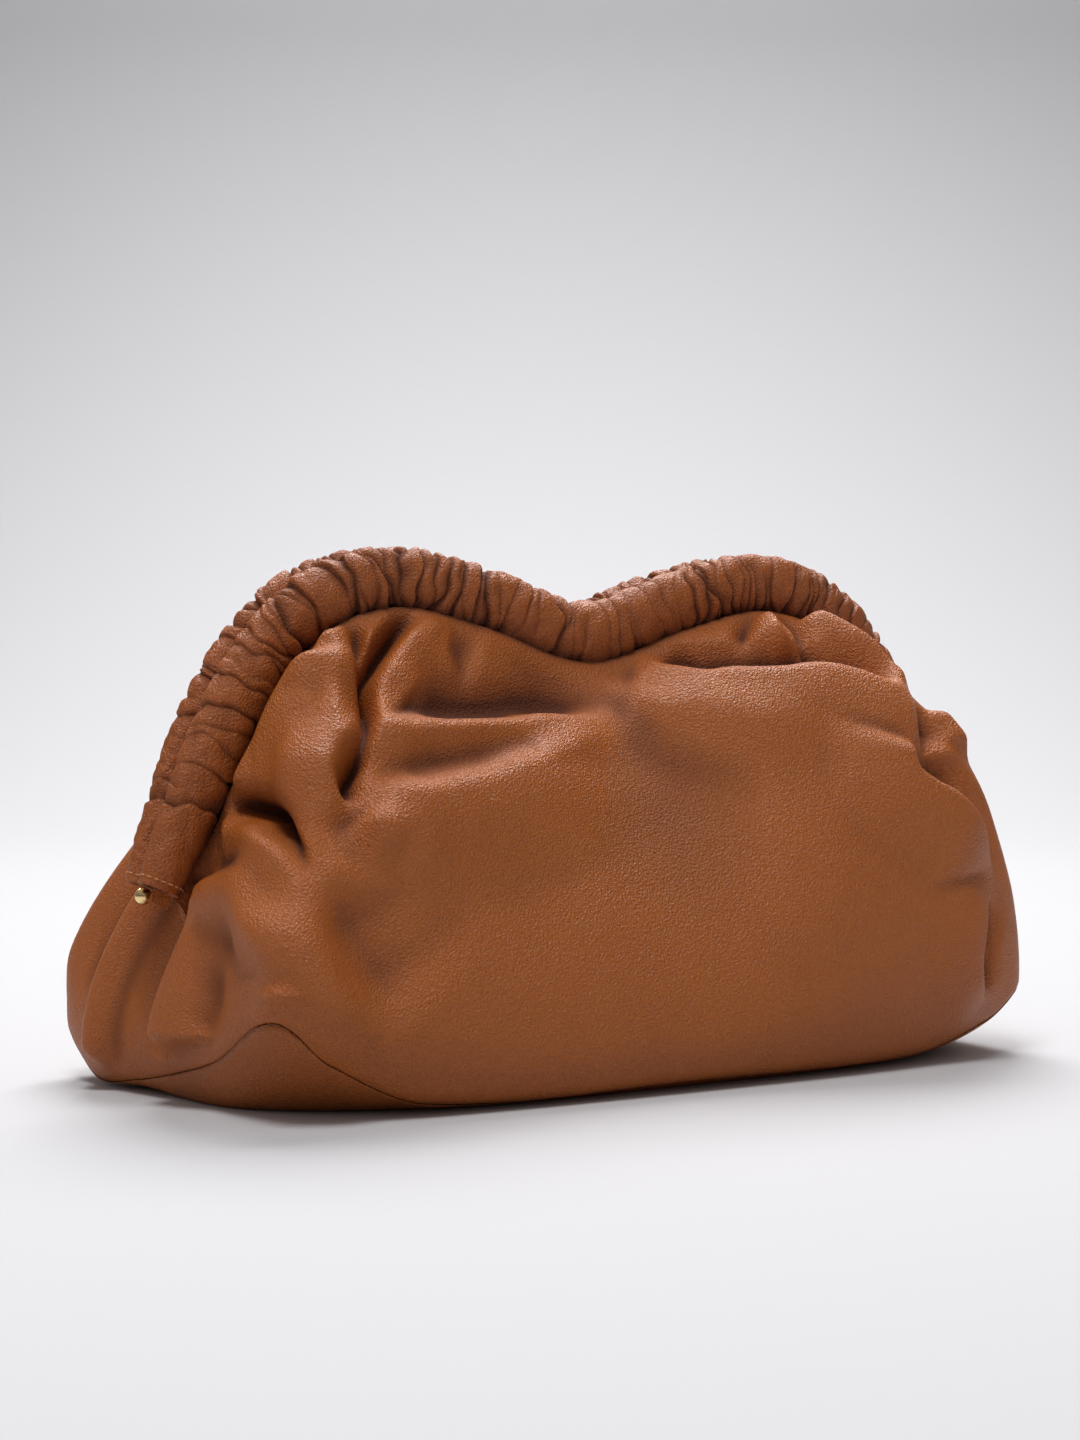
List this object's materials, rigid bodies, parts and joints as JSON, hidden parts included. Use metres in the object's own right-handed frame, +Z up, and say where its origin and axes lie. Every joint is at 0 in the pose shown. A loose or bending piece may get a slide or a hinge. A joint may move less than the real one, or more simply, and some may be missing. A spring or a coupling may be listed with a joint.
{
  "type": "leather pouch clutch bag",
  "caption": "Soft gathered pouch clutch in smooth leather, with a ruched cloud-shaped top over a hidden frame and a gold hinge head at each end.",
  "frame": {"origin": "middle of the footprint box, on the surface the bag stands on", "axes": "+Z up, -Y out of the front wall, +X to the viewer's right"},
  "size_m": [0.38, 0.1858, 0.2009],
  "materials": {
    "leather": "smooth fine-grained calf leather with a soft sheen",
    "leather_ruched": "the same leather, tightly gathered",
    "gold": "polished pale gold plating",
    "frame_steel": "plain steel, hidden in the sleeves"
  },
  "bodies": {
    "root": {"wall_front": "leather", "wall_back": "leather", "base_panel": "leather", "sleeve_front": "leather_ruched", "sleeve_back": "leather_ruched", "frame_bar_front": "frame_steel", "frame_bar_back": "frame_steel", "hinge_knob_left": "gold", "hinge_knob_right": "gold", "end_tab_left": "leather", "end_tab_right": "leather"}
  },
  "joints": []
}
